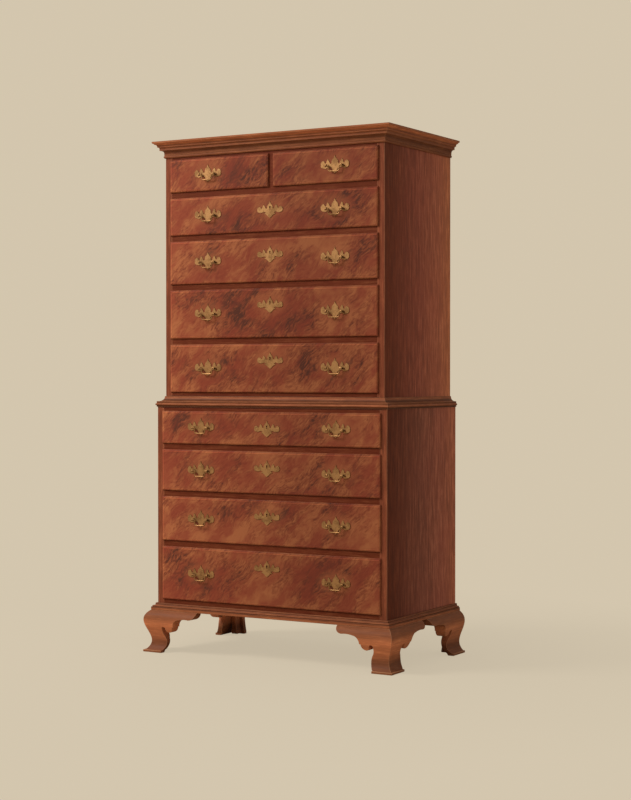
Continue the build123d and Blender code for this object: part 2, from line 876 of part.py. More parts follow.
def drawer_brasses(drawer):
    """Backplates with their posts and nuts, and on a wide drawer the escutcheon, its pins and the lock."""
    plate_face = drawer.face - plate_thickness
    pieces = []
    for pull in drawer.pulls:
        pieces.append(pull_plate.part.moved(Location((pull, drawer.face, drawer.height))))
        for x, z in post_places:
            place = Location((pull + x, plate_face, drawer.height + z))
            pieces += [post.part.moved(place), nut.part.moved(place)]
    if drawer.locked:
        pieces.append(escutcheon.part.moved(Location((drawer.middle, drawer.face, drawer.shield))))
        for x, z in pin_places:
            pieces.append(pin.part.moved(Location((drawer.middle + x, plate_face, drawer.shield + z))))
        pieces.append(drawer_lock(drawer))
    return pieces


def write_drawer(number, drawer):
    """Writes the nodes of one drawer and of its bails."""
    write_node(f"drawer_{number}_front", [drawer_front(drawer)])
    sides = [drawer_side(drawer, drawer.left_xs), drawer_side(drawer, drawer.right_xs)]
    write_node(f"drawer_{number}_box", sides + [drawer_back(drawer), bottom_board(drawer)])
    write_node(f"drawer_{number}_brasses", drawer_brasses(drawer))
    pivot = drawer.face - plate_thickness - post_reach
    names = ["bail"] if len(drawer.pulls) == 1 else ["left_bail", "right_bail"]
    for name, pull in zip(names, drawer.pulls):
        place = Location((pull, pivot, drawer.height))
        write_node(f"drawer_{number}_{name}", [bail.part.moved(place)])


upper_inner = upper_half - side_thickness
lower_inner = lower_half - side_thickness
left_xs = (-upper_inner, -upright_thickness / 2)
right_xs = (upright_thickness / 2, upper_inner)
upper_pulls = [-upper_pull_place, upper_pull_place]
lower_pulls = [-lower_pull_place, lower_pull_place]
drawers = [
    Drawer(left_xs, upper_rows[-1], upper_front, upper_pulls[:1], False),
    Drawer(right_xs, upper_rows[-1], upper_front, upper_pulls[1:], False),
]
for row in reversed(upper_rows[:-1]):
    drawers.append(Drawer((-upper_inner, upper_inner), row, upper_front, upper_pulls, True))
for row in reversed(lower_rows):
    drawers.append(Drawer((-lower_inner, lower_inner), row, lower_front, lower_pulls, True))
for number, drawer in enumerate(drawers, start=1):
    write_drawer(number, drawer)
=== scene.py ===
import json
import math

import bmesh
import bpy
from bpy.props import FloatProperty, FloatVectorProperty, PointerProperty
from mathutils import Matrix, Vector

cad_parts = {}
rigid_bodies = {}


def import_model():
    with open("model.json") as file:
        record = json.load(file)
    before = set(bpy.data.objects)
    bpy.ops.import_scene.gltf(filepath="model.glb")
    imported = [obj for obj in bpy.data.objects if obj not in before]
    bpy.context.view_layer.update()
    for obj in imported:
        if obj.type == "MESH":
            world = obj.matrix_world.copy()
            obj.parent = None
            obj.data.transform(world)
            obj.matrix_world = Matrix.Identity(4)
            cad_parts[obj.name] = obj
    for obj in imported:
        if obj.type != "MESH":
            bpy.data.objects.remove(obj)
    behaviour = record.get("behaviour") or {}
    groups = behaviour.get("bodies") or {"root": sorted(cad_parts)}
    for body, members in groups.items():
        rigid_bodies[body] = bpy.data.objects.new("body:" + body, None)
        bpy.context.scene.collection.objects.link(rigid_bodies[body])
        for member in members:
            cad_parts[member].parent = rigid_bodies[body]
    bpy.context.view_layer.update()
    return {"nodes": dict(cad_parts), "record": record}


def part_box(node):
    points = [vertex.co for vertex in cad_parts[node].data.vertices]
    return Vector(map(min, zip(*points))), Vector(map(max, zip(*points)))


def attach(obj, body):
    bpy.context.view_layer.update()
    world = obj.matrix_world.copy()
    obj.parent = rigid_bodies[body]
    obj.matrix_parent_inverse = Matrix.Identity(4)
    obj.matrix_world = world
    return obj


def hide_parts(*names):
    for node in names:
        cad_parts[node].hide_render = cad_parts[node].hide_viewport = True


bl_info = {
    "name": "Walnut chest-on-chest",
    "version": (1, 0, 0),
    "blender": (4, 5, 0),
    "location": "View3D > Sidebar > Chest",
    "description": "Dresses a chest-on-chest in figured walnut and aged brass",
    "category": "Object",
}

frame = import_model()

BODY_OF = {n: b for b, nodes in frame["record"]["behaviour"]["bodies"].items() for n in nodes}
DRAWERS = range(1, 11)
CASES = ("lower", "upper")
# Distance between two nodes side by side in the shader editor
GRID = 190
# Turns of a pattern whose grain runs along X
ACROSS = (0, 0, 0)
UPRIGHT = (0, math.radians(90), 0)
BACKWARDS = (0, 0, math.radians(-90))

# Points of a mesh that are nearer than this, in metres, become one
WELD = 1e-5
# Faces that meet at less than FLAT become one; edges that turn by more than SHARP are eased
FLAT = math.radians(0.3)
SHARP = math.radians(35)
# Faces across an eased edge
EASING_STEPS = 2
# How far a normal's parts may be off on the cut face of a mitre
MITRE_SLACK = 0.01
# A face whose normal lies less than this along Y looks sideways
SIDEWAYS = 0.5

# How far each drawer front lies from the one before in the figure, along X, Y and Z
FIGURE_STEPS = (1.37, 0.61, 0.83)
# Each layer of the figure: its name, its stretch along X, its features to a patch and its detail
FIGURE_LAYERS = (
    ("Clouds", 0.55, 1.0, 1.2),
    ("Swells", 0.35, 3.4, 2),
    ("Streaks", 0.24, 14, 3),
    ("Hairs", 0.2, 34, 2),
    ("Redness", 0.45, 2.4, 3),
)
# Bends of the figure to a patch
FIGURE_BENDS = 1.5
# How much each layer of the figure counts, and where their sum is dark, middling and light
FIGURE_SHARES = (("Clouds", 0.36), ("Swells", 0.17), ("Streaks", 0.25), ("Hairs", 0.26))
FIGURE_STOPS = (0.4, 0.46, 0.552)
# The range of the redness layer, and the range of the red's strength that it is brought onto
REDNESS = (0.42, 0.6, 0, 0.75)
# A front's sum changes by this much from its rim to this many metres inside it: a painted shade,
# darker inside the front than at its rim
INWARD_PAINTED_SHADE = -0.05
INWARD_REACH = 0.06
# A painted highlight line round the rim of a front, where its field begins, and painted shade on
# the lip outside it, as (place, tone) over this many metres
RIM_HIGHLIGHT_REACH = 0.014
RIM_HIGHLIGHT_LINES = [(0.0, 0.44), (0.38, 0.47), (0.44, 0.74), (0.58, 0.74), (0.64, 0.46), (1.0, 0.5)]
# The lighter wood round a brass, from hand wear and painted light: half its size, where it fades in
# shares of that, its strength
HALO_SIZE = (0.058, 1, 0.036)
HALO_FADE = (0.8, 1.5)
HALO_STRENGTH = 0.4
# A plate's middle above its bail's pivot, and an escutcheon's below the top of its front, in metres
PLATE_RISE = 0.004
ESCUTCHEON_DROP = 0.054

# Each layer of the straight grain: its name, its stretch along X, its features to a fibre, its
# detail and, where its contrast is raised, the range that is brought onto nought to one
GRAIN_LAYERS = (
    ("Bands", 0.08, 0.06, 3),
    ("Mottle", 0.5, 0.09, 4),
    ("Threads", 0.06, 0.32, 3, 0.38, 0.62),
    ("Fibres", 0.04, 0.75, 3),
    ("Pores", 0.06, 2.2, 1, 0.6, 0.72),
)
# Bends of the straight grain per metre
GRAIN_BENDS = 3.0
# How much each layer of the plain walnut counts; threads and fibres share out the rest
PLAIN_SHARES = (("Bands", 0.15), ("Mottle", 0.25))
THREADS_AND_FIBRES = 0.6
SIDE_THREADS = 0.17
# Where the sum of the plain walnut's layers is dark, middling and light
PLAIN_STOPS = (0.36, 0.5, 0.64)
# Red patches per metre of the plain walnut, their noise's range and that of their strength
PLAIN_PATCHES = 5.0
PATCH_STRENGTH = (0.4, 0.7, 0, 0.35)
# Where the sum of the pine's layers is dark and light
PINE_STOPS = (0.36, 0.6)
# Stains per metre of the pine, their noise's range and that of their strength
PINE_STAINS = 4.0
STAIN_STRENGTH = (0.5, 0.75, 0, 0.5)
# How much of its stain each kind of piece takes
# The rails' share also darkens them as painted shade under the overhanging drawers
RAIL_STAIN_AND_SHADE = 0.68
BOARD_STAIN = 0.35
FOOT_STAIN = 0.5
# How far the plain walnut and the pine wander, in metres
WALNUT_WAVE = 0.012
PINE_WAVE = 0.03
# How far back the front edge of a pine board is faced with walnut, and how softly that ends
FACING_DEPTH = 0.004
FACING_BLUR = 0.001

# The relief of the grain: its strength, and its depth in metres
FRONT_RELIEF = (0.18, 0.0006)
PLAIN_RELIEF = (0.25, 0.0008)
PINE_RELIEF = (0.35, 0.001)
BRASS_RELIEF = (0.12, 0.0003)
# The polish runs from this much glossier than its set roughness, over this range
WAX_GLOSSIER = 0.08
WAX_RANGE = 0.2
# The thin coat over the polish, and how much the bare pine reflects
COAT_WEIGHT = 0.02
COAT_ROUGHNESS = 0.35
PINE_GLOSS = 0.2

# Spots and clouds of tarnish per metre
BRASS_SPOTS = 180.0
BRASS_CLOUDS = 30.0
# The range of their sum in which the tarnish comes in
TARNISH_RANGE = (0.44, 0.58)
# The brass is this much glossier and this much duller than its set roughness
BRASS_GLOSSIER = 0.08
BRASS_DULLER = 0.14

# The floor shows plain paper to this share as far as the first distance, and wholly past the second
FLOOR_RADIUS = 40
FLOOR_FADE = (0.5, 2.0)
PAPER_SHARE = 0.8
# The soft square lamp at the upper left, in metres
KEY_PLACE = (-3.9, -3.3, 4.8)
KEY_AIM = (0, 0, 1.0)
KEY_SIZE = 2.4
# The camera's sensor in millimetres, and how far it sees in metres
SENSOR_WIDTH = 36
FAR_CLIP = 200


def tint(name, description, default):
    """A colour that the user can change."""
    return FloatVectorProperty(
        name=name, description=description, default=default, subtype="COLOR", size=3, min=0, max=1
    )


def length(name, description, default):
    """A length in metres that the user can change."""
    return FloatProperty(name=name, description=description, default=default, unit="LENGTH", min=0)


def share(name, description, default):
    """A number from nought to one that the user can change."""
    return FloatProperty(
        name=name, description=description, default=default, subtype="FACTOR", min=0, max=1
    )


def angle(name, description, degrees):
    """An angle that the user can change."""
    return FloatProperty(
        name=name, description=description, default=math.radians(degrees), subtype="ANGLE"
    )


def coordinate(name, default):
    """One coordinate of the camera that the user can change."""
    return FloatProperty(
        name=name, description="Place of the camera", default=default, unit="LENGTH"
    )


class WalnutSettings(bpy.types.PropertyGroup):
    """Colours, grain sizes and polish of the wood."""

    figure_dark: tint("Figure, dark", "Purple-brown clouds of the fronts", (0.078, 0.025, 0.015))
    figure_middle: tint("Figure, middle", "Red-brown ground of the fronts", (0.185, 0.046, 0.020))
    figure_light: tint("Figure, light", "Orange flames of the fronts", (0.31, 0.098, 0.038))
    figure_red: tint("Figure, red", "Redder stretches of the fronts", (0.20, 0.038, 0.019))
    figure_patch: length("Figure size", "How wide one cloud of the figure is", 0.14)
    figure_swirl: length("Figure swirl", "How far the figure wanders", 0.05)
    figure_tilt: angle("Figure tilt", "How steeply the figure rises to the right", 43)
    plain_dark: tint("Plain, dark", "Dark bands of the plain walnut", (0.055, 0.013, 0.006))
    plain_middle: tint("Plain, middle", "The ground of the plain walnut", (0.165, 0.042, 0.016))
    plain_light: tint("Plain, light", "Light bands of the plain walnut", (0.36, 0.125, 0.050))
    plain_fibre: length("Fibre width", "How wide one fibre of the plain walnut looks", 0.0022)
    # The frames' red-brown stain, made darker as painted shade under the overhanging drawers
    stain_and_shade: tint("Stained", "The red-brown stain of the drawer frames", (0.105, 0.016, 0.004))
    # Eased edges: worn polish with a painted highlight along them
    worn_and_lit: tint("Rubbed edge", "Where hands have worn the polish on an edge", (0.45, 0.215, 0.105))
    edge_wear_and_highlight: share("Rubbing", "How much the edges are worn", 0.55)
    pine: tint("Pine", "Backboards and drawer boxes", (0.50, 0.285, 0.135))
    pine_dark: tint("Pine, dark", "Dark grain of the pine", (0.30, 0.145, 0.060))
    wax_roughness: share("Wax roughness", "How dull the polish is", 0.56)
    wax_gloss: share("Wax gloss", "How much the polish reflects", 0.05)


class BrassSettings(bpy.types.PropertyGroup):
    """Colour and wear of the plates and bails."""

    bright: tint("Brass", "Rubbed brass", (0.37, 0.195, 0.080))
    tarnish: tint("Tarnish", "Brown tarnish in the hollows", (0.165, 0.080, 0.030))
    # Old polish along the edges of the plates, and painted shade that outlines them
    dirt_and_shade: tint("Dirt", "Old polish left along the edges of the plates", (0.075, 0.036, 0.015))
    tarnish_share: share("Tarnished share", "How much of the brass is tarnished", 0.7)
    roughness: share("Roughness", "How dull the brass is", 0.5)


class EasingSettings(bpy.types.PropertyGroup):
    """How far the sharp edges of each kind of piece are eased."""

    board: length("Boards", "Edges of the case boards", 0.0008)
    front: length("Drawer fronts", "Edges of the drawer fronts", 0.0006)
    moulding: length("Mouldings", "Edges of the mouldings and feet", 0.001)
    plate: length("Plates", "Edges of the backplates and escutcheons", 0.0006)
    bail: length("Bails", "Edges of the bails", 0.0004)


class StageSettings(bpy.types.PropertyGroup):
    """The floor, the light and the camera."""

    paper: tint("Backdrop", "The pale floor and backdrop", (0.655, 0.565, 0.423))
    floor: tint("Floor", "The floor where the chest's shadow falls", (0.58, 0.50, 0.375))
    fill: FloatProperty(name="Fill", description="Light from all round", default=0.5, min=0)
    key: FloatProperty(
        name="Key", description="Power of the soft lamp", default=390, min=0, unit="POWER"
    )
    camera_x: coordinate("Camera, across", 3.377)
    camera_y: coordinate("Camera, back", -5.677)
    camera_z: coordinate("Camera, height", 1.046)
    turn: angle("Turn", "How far round from the front", 30.36)
    pitch: angle("Pitch", "Up or down", -0.8)
    lens: FloatProperty(
        name="Lens", description="Focal length in millimetres", default=78.708, min=1
    )


class ChestSettings(bpy.types.PropertyGroup):
    """All that can be set on the chest."""

    walnut: PointerProperty(type=WalnutSettings)
    brass: PointerProperty(type=BrassSettings)
    easing: PointerProperty(type=EasingSettings)
    stage: PointerProperty(type=StageSettings)


def settings():
    """The chest's settings in the scene that is open."""
    return bpy.context.scene.chest


def add(tree, kind, column, row, sockets=None, **options):
    """Adds a node at a column and row of the editor, with its options and its sockets' values."""
    item = tree.nodes.new(kind)
    item.location = (column * GRID, -row * GRID)
    for name, value in options.items():
        setattr(item, name, value)
    for name, value in (sockets or {}).items():
        item.inputs[name].default_value = value
    return item


def join(tree, *pairs):
    """Links each pair of an output and an input."""
    for source, target in pairs:
        tree.links.new(source, target)


def sum_of(tree, column, row, parts):
    """Adds up outputs, each times its own number."""
    total = None
    for step, (source, weight) in enumerate(parts):
        times = add(tree, "ShaderNodeMath", column, row + step, operation="MULTIPLY_ADD")
        join(tree, (source, times.inputs[0]))
        times.inputs[1].default_value = weight
        times.inputs[2].default_value = 0
        if total:
            join(tree, (total, times.inputs[2]))
        total = times.outputs[0]
    return total


def ramp(tree, column, row, source, stops):
    """A colour ramp of (place, colour) stops, fed by an output."""
    stops = list(stops)
    item = add(tree, "ShaderNodeValToRGB", column, row)
    band = item.color_ramp
    while len(band.elements) < len(stops):
        band.elements.new(0.5)
    for element, (spot, colour) in zip(band.elements, stops):
        element.position = spot
        element.color = (*colour, 1)
    join(tree, (source, item.inputs["Fac"]))
    return item.outputs["Color"]


def between(tree, column, row, source, low, high, start=0.0, end=1.0):
    """Brings an output's range from low to high onto start to end, and keeps it there."""
    item = add(tree, "ShaderNodeMapRange", column, row, clamp=True)
    for name, value in (("From Min", low), ("From Max", high), ("To Min", start), ("To Max", end)):
        item.inputs[name].default_value = value
    join(tree, (source, item.inputs["Value"]))
    return item.outputs["Result"]


def blend(tree, column, row, factor, first, second, kind="MIX"):
    """Mixes two colours, each an output or a colour, by an output or a number."""
    item = add(tree, "ShaderNodeMix", column, row, data_type="RGBA", blend_type=kind)
    for socket, value in (("Factor", factor), (6, first), (7, second)):
        if isinstance(value, bpy.types.NodeSocket):
            join(tree, (value, item.inputs[socket]))
        elif isinstance(value, (int, float)):
            item.inputs[socket].default_value = value
        else:
            item.inputs[socket].default_value = (*value, 1)
    return item.outputs[2]


def placed(tree, column, row, vector, axis, low, high):
    """How far along an axis a point lies, from nought at low to one at high."""
    apart = add(tree, "ShaderNodeSeparateXYZ", column, row)
    join(tree, (vector, apart.inputs[0]))
    return between(tree, column + 1, row, apart.outputs[axis], low, high)


def toned(tree, column, row, colour, source, stops):
    """Darkens and lightens a colour by (place, tone) stops, whose tones are numbers or colours.

    A tone of a half leaves the colour as it is.
    """
    colours = [(spot, tone if isinstance(tone, tuple) else (tone,) * 3) for spot, tone in stops]
    tones = ramp(tree, column, row, source, colours)
    return blend(tree, column + 2, row, 1.0, colour, tones, "OVERLAY")


def new_group(name, takes, gives):
    """A shader node group with its named inputs and outputs."""
    tree = bpy.data.node_groups.new(name, "ShaderNodeTree")
    for label, kind, default in takes:
        socket = tree.interface.new_socket(label, in_out="INPUT", socket_type=kind)
        socket.default_value = default
    for label in gives:
        tree.interface.new_socket(label, in_out="OUTPUT", socket_type="NodeSocketFloat")
    way_in = add(tree, "NodeGroupInput", 0, 0)
    way_out = add(tree, "NodeGroupOutput", 12, 0)
    return tree, way_in, way_out


# The input that every group has
VECTOR = ("Vector", "NodeSocketVector", (0, 0, 0))


def noise(tree, column, row, vector, scale, detail, roughness=0.55):
    """A noise texture whose scale is a number or an output."""
    item = add(tree, "ShaderNodeTexNoise", column, row, {"Detail": detail, "Roughness": roughness})
    join(tree, (vector, item.inputs["Vector"]))
    if isinstance(scale, (int, float)):
        item.inputs["Scale"].default_value = scale
    else:
        join(tree, (scale, item.inputs["Scale"]))
    return item


def per_metre(tree, column, row, size, times):
    """The scale of a texture whose features are an output's size, times a number."""
    item = add(tree, "ShaderNodeMath", column, row, operation="DIVIDE")
    item.inputs[0].default_value = times
    join(tree, (size, item.inputs[1]))
    return item.outputs[0]


def wander(tree, column, row, vector, reach, scale):
    """Moves a vector about by smooth noise, as far as reach."""
    drift = noise(tree, column, row, vector, scale, 2)
    centred = add(tree, "ShaderNodeVectorMath", column + 1, row, operation="SUBTRACT")
    centred.inputs[1].default_value = (0.5, 0.5, 0.5)
    stretched = add(tree, "ShaderNodeVectorMath", column + 2, row, operation="SCALE")
    moved = add(tree, "ShaderNodeVectorMath", column + 3, row, operation="ADD")
    join(
        tree,
        (drift.outputs["Color"], centred.inputs[0]),
        (centred.outputs[0], stretched.inputs[0]),
        (reach, stretched.inputs["Scale"]),
        (vector, moved.inputs[0]),
        (stretched.outputs[0], moved.inputs[1]),
    )
    return moved.outputs[0]


def drawn_out(tree, column, row, vector, along):
    """Stretches a pattern along X."""
    item = add(tree, "ShaderNodeVectorMath", column, row, operation="MULTIPLY")
    item.inputs[1].default_value = (along, 1, 1)
    join(tree, (vector, item.inputs[0]))
    return item.outputs[0]


def layered(tree, way_out, vector, size, layers):
    """Feeds each output of a group by its own layer of noise, whose features go by a size."""
    for row, (name, along, times, detail, *limits) in enumerate(layers):
        scale = per_metre(tree, 5, 2 * row + 1, size, times)
        stretched = drawn_out(tree, 6, 2 * row, vector, along)
        found = noise(tree, 7, 2 * row, stretched, scale, detail, 0.6).outputs["Fac"]
        if limits:
            found = between(tree, 8, 2 * row, found, *limits)
        join(tree, (found, way_out.inputs[name]))


def figure_group():
    """The clouded, flame-like figure of the drawer fronts, which runs along X."""
    takes = [VECTOR, ("Patch", "NodeSocketFloat", 0.14), ("Swirl", "NodeSocketFloat", 0.05)]
    tree, way_in, way_out = new_group("Flame figure", takes, [name for name, *_ in FIGURE_LAYERS])
    patch = way_in.outputs["Patch"]
    slow = per_metre(tree, 1, 1, patch, FIGURE_BENDS)
    moved = wander(tree, 2, 0, way_in.outputs["Vector"], way_in.outputs["Swirl"], slow)
    layered(tree, way_out, moved, patch, FIGURE_LAYERS)
    return tree


def grain_group():
    """Straight grain along X: broad bands, mottling, threads, fibres and short dark pores."""
    takes = [VECTOR, ("Fibre", "NodeSocketFloat", 0.002), ("Wave", "NodeSocketFloat", 0.01)]
    tree, way_in, way_out = new_group("Straight grain", takes, [name for name, *_ in GRAIN_LAYERS])
    bent = wander(tree, 1, 0, way_in.outputs["Vector"], way_in.outputs["Wave"], GRAIN_BENDS)
    layered(tree, way_out, bent, way_in.outputs["Fibre"], GRAIN_LAYERS)
    return tree


def rim_group():
    """How far inside the rim of a drawer front a point lies, in metres, seen from the front."""
    takes = [
        VECTOR,
        ("Middle", "NodeSocketVector", (0, 0, 0)),
        ("Half size", "NodeSocketVector", (1, 1, 1)),
    ]
    tree, way_in, way_out = new_group("Rim of a front", takes, ["Depth"])
    centred = add(tree, "ShaderNodeVectorMath", 1, 0, operation="SUBTRACT")
    whole = add(tree, "ShaderNodeVectorMath", 2, 0, operation="ABSOLUTE")
    depth = add(tree, "ShaderNodeVectorMath", 3, 0, operation="SUBTRACT")
    apart = add(tree, "ShaderNodeSeparateXYZ", 4, 0)
    least = add(tree, "ShaderNodeMath", 5, 0, operation="MINIMUM")
    join(
        tree,
        (way_in.outputs["Vector"], centred.inputs[0]),
        (way_in.outputs["Middle"], centred.inputs[1]),
        (centred.outputs[0], whole.inputs[0]),
        (way_in.outputs["Half size"], depth.inputs[0]),
        (whole.outputs[0], depth.inputs[1]),
        (depth.outputs[0], apart.inputs[0]),
        (apart.outputs["X"], least.inputs[0]),
        (apart.outputs["Z"], least.inputs[1]),
        (least.outputs[0], way_out.inputs["Depth"]),
    )
    return tree


def halo_group():
    """How far from a brass a point lies, in shares of its size, with left and right as one."""
    takes = [
        VECTOR,
        ("Centre", "NodeSocketVector", (0, 0, 0)),
        ("Size", "NodeSocketVector", (1, 1, 1)),
    ]
    tree, way_in, way_out = new_group("Round a brass", takes, ["Distance"])
    folded = add(tree, "ShaderNodeVectorMath", 1, 0, operation="ABSOLUTE")
    centred = add(tree, "ShaderNodeVectorMath", 2, 0, operation="SUBTRACT")
    scaled = add(tree, "ShaderNodeVectorMath", 3, 0, operation="DIVIDE")
    flat = add(tree, "ShaderNodeVectorMath", 4, 0, operation="MULTIPLY")
    flat.inputs[1].default_value = (1, 0, 1)
    far = add(tree, "ShaderNodeVectorMath", 5, 0, operation="LENGTH")
    join(
        tree,
        (way_in.outputs["Vector"], folded.inputs[0]),
        (folded.outputs[0], centred.inputs[0]),
        (way_in.outputs["Centre"], centred.inputs[1]),
        (centred.outputs[0], scaled.inputs[0]),
        (way_in.outputs["Size"], scaled.inputs[1]),
        (scaled.outputs[0], flat.inputs[0]),
        (flat.outputs[0], far.inputs[0]),
        (far.outputs["Value"], way_out.inputs["Distance"]),
    )
    return tree


def place_group(tree, group, column, row, sockets=None):
    """Puts a node group in a material, with its own values."""
    item = add(tree, "ShaderNodeGroup", column, row)
    item.node_tree = group
    for name, value in (sockets or {}).items():
        item.inputs[name].default_value = value
    return item


def shared(name, make):
    """A node group by name, made the first time it is asked for."""
    return bpy.data.node_groups.get(name) or make()


def new_material(name):
    """A material with an empty tree, its shader and its Object coordinates."""
    material = bpy.data.materials.new(name)
    material.use_nodes = True
    tree = material.node_tree
    tree.nodes.clear()
    shader = add(tree, "ShaderNodeBsdfPrincipled", 16, 0)
    output = add(tree, "ShaderNodeOutputMaterial", 18, 0)
    where = add(tree, "ShaderNodeTexCoord", -2, 0)
    join(tree, (shader.outputs[0], output.inputs["Surface"]))
    return material, tree, shader, where.outputs["Object"]


def turned(tree, column, row, vector, rotation, location=(0, 0, 0)):
    """Turns and moves a pattern on a piece."""
    item = add(tree, "ShaderNodeMapping", column, row, {"Rotation": rotation, "Location": location})
    join(tree, (vector, item.inputs["Vector"]))
    return item.outputs["Vector"]


def relief_of(tree, column, relief):
    """A bump of (strength, depth)."""
    strength, depth = relief
    return add(tree, "ShaderNodeBump", column, 2, {"Strength": strength, "Distance": depth})


def waxed(tree, shader, colour, height, relief, dullness):
    """Finishes a wood: its colour, a wax polish and the relief of its grain."""
    wood = settings().walnut
    bump = relief_of(tree, 14, relief)
    low = wood.wax_roughness - WAX_GLOSSIER
    rough = between(tree, 14, 3, dullness, 0.3, 0.7, low, low + WAX_RANGE)
    join(
        tree,
        (height, bump.inputs["Height"]),
        (bump.outputs["Normal"], shader.inputs["Normal"]),
        (colour, shader.inputs["Base Color"]),
        (rough, shader.inputs["Roughness"]),
    )
    shader.inputs["Coat Weight"].default_value = COAT_WEIGHT
    shader.inputs["Coat Roughness"].default_value = COAT_ROUGHNESS
    shader.inputs["Specular IOR Level"].default_value = wood.wax_gloss


def worn_and_highlit_edges(tree, column, row, colour):
    """Lightens the eased edges, where the polish is worn and a highlight is painted along them."""
    wood = settings().walnut
    edge = add(tree, "ShaderNodeAttribute", column, row, attribute_name="eased")
    wear_and_highlight = add(tree, "ShaderNodeMath", column + 1, row, operation="MULTIPLY")
    wear_and_highlight.inputs[1].default_value = wood.edge_wear_and_highlight
    join(tree, (edge.outputs["Fac"], wear_and_highlight.inputs[0]))
    return blend(tree, column + 2, row, wear_and_highlight.outputs[0], colour, tuple(wood.worn_and_lit))


def brass_places(number, top):
    """The middles of a front's plates and, on a wide front, of its escutcheon, as (across, height).

    A group folds the chest down its middle, so one place stands for a left and a right plate.
    """
    joints = frame["record"]["behaviour"]["joints"]
    pulls = [j["pos_m"] for j in joints if j["parent"] == f"drawer_{number}"]
    places = [(abs(pulls[0][0]), pulls[0][2] + PLATE_RISE)]
    if len(pulls) > 1:
        places.append((0, top - ESCUTCHEON_DROP))
    return places


def figured_walnut(number):
    """The material of one drawer front, with its own piece of the figure."""
    wood = settings().walnut
    low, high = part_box(f"drawer_{number}_front")
    middle = (Vector(low) + Vector(high)) / 2
    half = (Vector(high) - Vector(low)) / 2
    material, tree, shader, where = new_material(f"figured walnut {number}")
    offset = tuple(number * step % 1 for step in FIGURE_STEPS)
    along = turned(tree, -1, 0, where, (0, wood.figure_tilt, 0), offset)
    sizes = {"Patch": wood.figure_patch, "Swirl": wood.figure_swirl}
    figure = place_group(tree, shared("Flame figure", figure_group), 0, 0, sizes)
    join(tree, (along, figure.inputs["Vector"]))
    parts = figure.outputs
    extent = {"Middle": middle, "Half size": half}
    rim = place_group(tree, shared("Rim of a front", rim_group), 0, 6, extent)
    join(tree, (where, rim.inputs["Vector"]))
    inward = between(tree, 1, 6, rim.outputs["Depth"], 0.0, INWARD_REACH)
    layers = [(parts[name], weight) for name, weight in FIGURE_SHARES]
    tone = sum_of(tree, 1, 0, [*layers, (inward, INWARD_PAINTED_SHADE)])
    dark, mid, light = tuple(wood.figure_dark), tuple(wood.figure_middle), tuple(wood.figure_light)
    ground = ramp(tree, 3, 0, tone, zip(FIGURE_STOPS, (dark, mid, light)))
    red = between(tree, 3, 2, parts["Redness"], *REDNESS)
    warmer = blend(tree, 5, 0, red, ground, tuple(wood.figure_red))
    # painted highlight line and painted shade round the rim of the front
    edge = between(tree, 3, 4, rim.outputs["Depth"], 0.0, RIM_HIGHLIGHT_REACH)
    rim_highlighted = toned(tree, 4, 4, warmer, edge, RIM_HIGHLIGHT_LINES)
    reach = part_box("drawer_10_front")[1][0]
    across = placed(tree, 4, 7, where, "X", -reach, reach)
    # painted light: the fronts are lighter towards the chest's left, where the lamp is
    painted_light_front = toned(tree, 6, 7, rim_highlighted, across, FRONT_PAINTED_SHADING)
    for step, (x, z) in enumerate(brass_places(number, high[2])):
        column = 7 + 2 * step
        spread = {"Centre": (x, 0, z), "Size": HALO_SIZE}
        halo = place_group(tree, shared("Round a brass", halo_group), column, 4, spread)
        join(tree, (where, halo.inputs["Vector"]))
        distance = halo.outputs["Distance"]
        # lighter wood round the brass: hand wear and painted light
        worn_and_lit = between(tree, column + 1, 4, distance, *HALO_FADE, HALO_STRENGTH, 0)
        painted_light_front = blend(tree, column + 1, 0, worn_and_lit, painted_light_front, light)
    finished = worn_and_highlit_edges(tree, 11, 2, painted_light_front)
    waxed(tree, shader, finished, parts["Hairs"], FRONT_RELIEF, parts["Streaks"])
    return material


def round_a_mitre(tree, where, front, offset, corner):
    """Turns a front's grain backwards on the side runs, which lie past a mitre.

    A point is past the mitre where |x| + y is more than that of the corner.
    """
    apart = add(tree, "ShaderNodeSeparateXYZ", -1, 3)
    beyond = add(tree, "ShaderNodeMath", 0, 3, operation="ABSOLUTE")
    reach = add(tree, "ShaderNodeMath", 1, 3, operation="ADD")
    past = add(tree, "ShaderNodeMath", 2, 3, operation="GREATER_THAN")
    past.inputs[1].default_value = corner
    join(
        tree,
        (where, apart.inputs[0]),
        (apart.outputs["X"], beyond.inputs[0]),
        (beyond.outputs[0], reach.inputs[0]),
        (apart.outputs["Y"], reach.inputs[1]),
        (reach.outputs[0], past.inputs[0]),
    )
    aside = turned(tree, -1, 2, where, BACKWARDS, offset)
    choice = add(tree, "ShaderNodeMix", 3, 3, data_type="VECTOR")
    join(
        tree,
        (past.outputs[0], choice.inputs["Factor"]),
        (front, choice.inputs[4]),
        (aside, choice.inputs[5]),
    )
    return choice.outputs[1]


